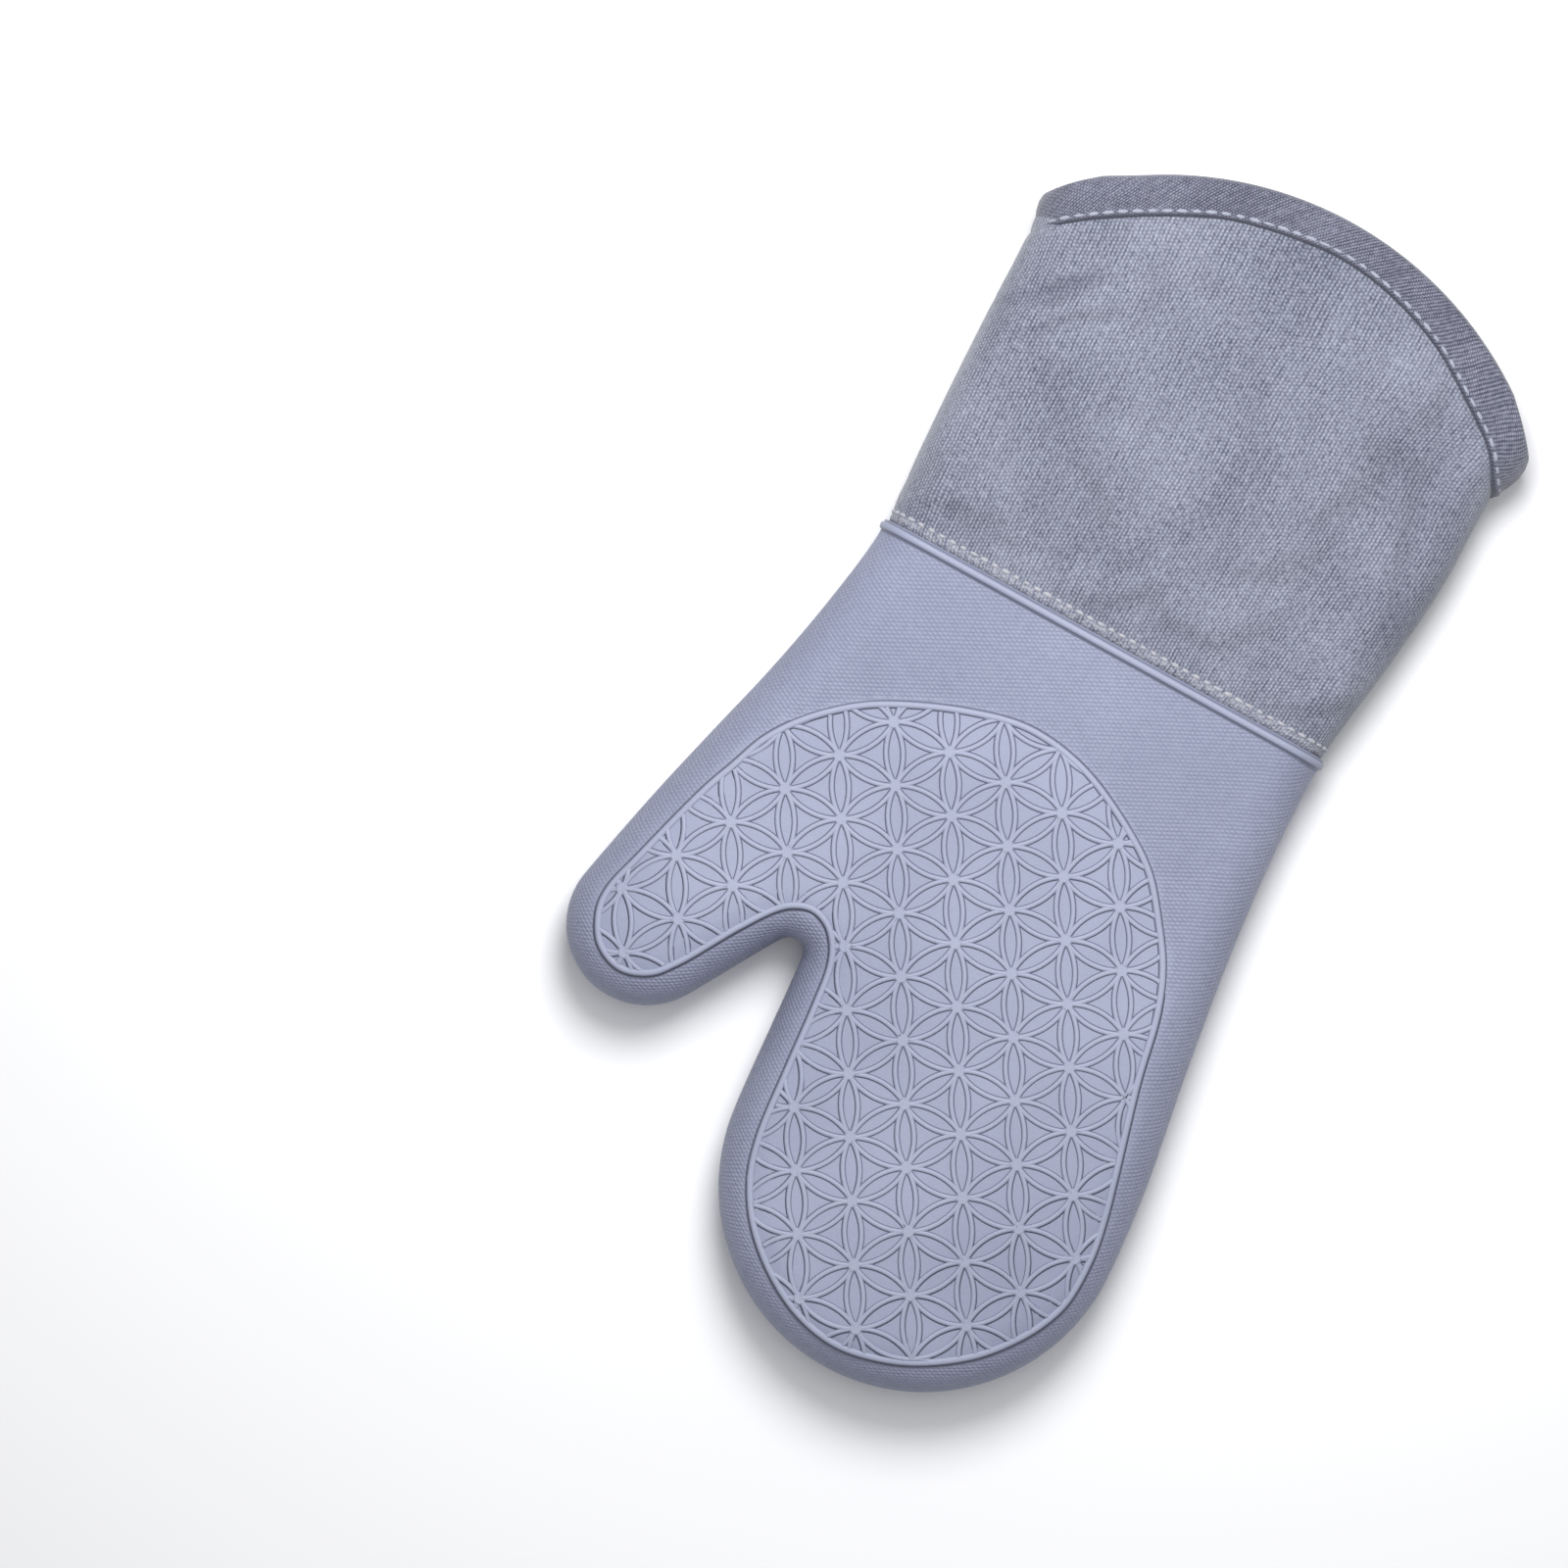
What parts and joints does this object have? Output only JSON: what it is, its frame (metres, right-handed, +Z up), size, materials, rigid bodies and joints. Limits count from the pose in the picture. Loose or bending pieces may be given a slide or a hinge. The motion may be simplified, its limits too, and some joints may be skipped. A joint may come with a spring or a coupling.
{
  "type": "oven mitt",
  "caption": "Long-cuff oven mitt: a moulded silicone glove with a petal-pattern grip, sewn to a woven fabric cuff with a bound mouth and a quilted lining.",
  "frame": {"origin": "middle of the bounding box at its bottom, on the surface that the mitt lies on", "axes": "+Z up out of the gripping palm, +Y from the fingertips towards the cuff's mouth, thumb on the -X side"},
  "size_m": [0.1946, 0.373, 0.032],
  "materials": {
    "silicone": "satin blue-grey moulded silicone, finely knurled",
    "cuff_fabric": "matte grey melange twill",
    "binding_tape": "matte grey melange twill, a little darker",
    "sewing_thread": "matte light grey spun thread",
    "lining_fabric": "matte light grey plain weave, quilted",
    "batting": "white needled wadding"
  },
  "bodies": {
    "palm": {"silicone_palm": "silicone", "cuff_palm_panel": "cuff_fabric", "cuff_back_panel": "cuff_fabric", "mouth_binding": "binding_tape", "binding_thread": "sewing_thread", "cuff_thread": "sewing_thread", "hand_batting_palm": "batting", "hand_batting_back": "batting", "hand_lining_palm": "lining_fabric", "hand_lining_back": "lining_fabric"},
    "thumb": {"silicone_thumb": "silicone", "thumb_batting_palm": "batting", "thumb_batting_back": "batting", "thumb_lining_palm": "lining_fabric", "thumb_lining_back": "lining_fabric"},
    "fingers": {"silicone_fingers": "silicone", "finger_batting_palm": "batting", "finger_batting_back": "batting", "finger_lining_palm": "lining_fabric", "finger_lining_back": "lining_fabric"}
  },
  "joints": [
    {"name": "thumb_fold", "type": "hinge", "parent": "palm", "child": "thumb", "pos_m": [-0.0345, -0.081, 0.032], "axis": [-0.66, 0.7513, 0], "range_deg": [0, 40], "stiffness_Nm_per_rad": 0.15},
    {"name": "finger_fold", "type": "hinge", "parent": "palm", "child": "fingers", "pos_m": [0.033, -0.082, 0.032], "axis": [-1, 0, 0], "range_deg": [0, 50], "stiffness_Nm_per_rad": 0.3}
  ]
}
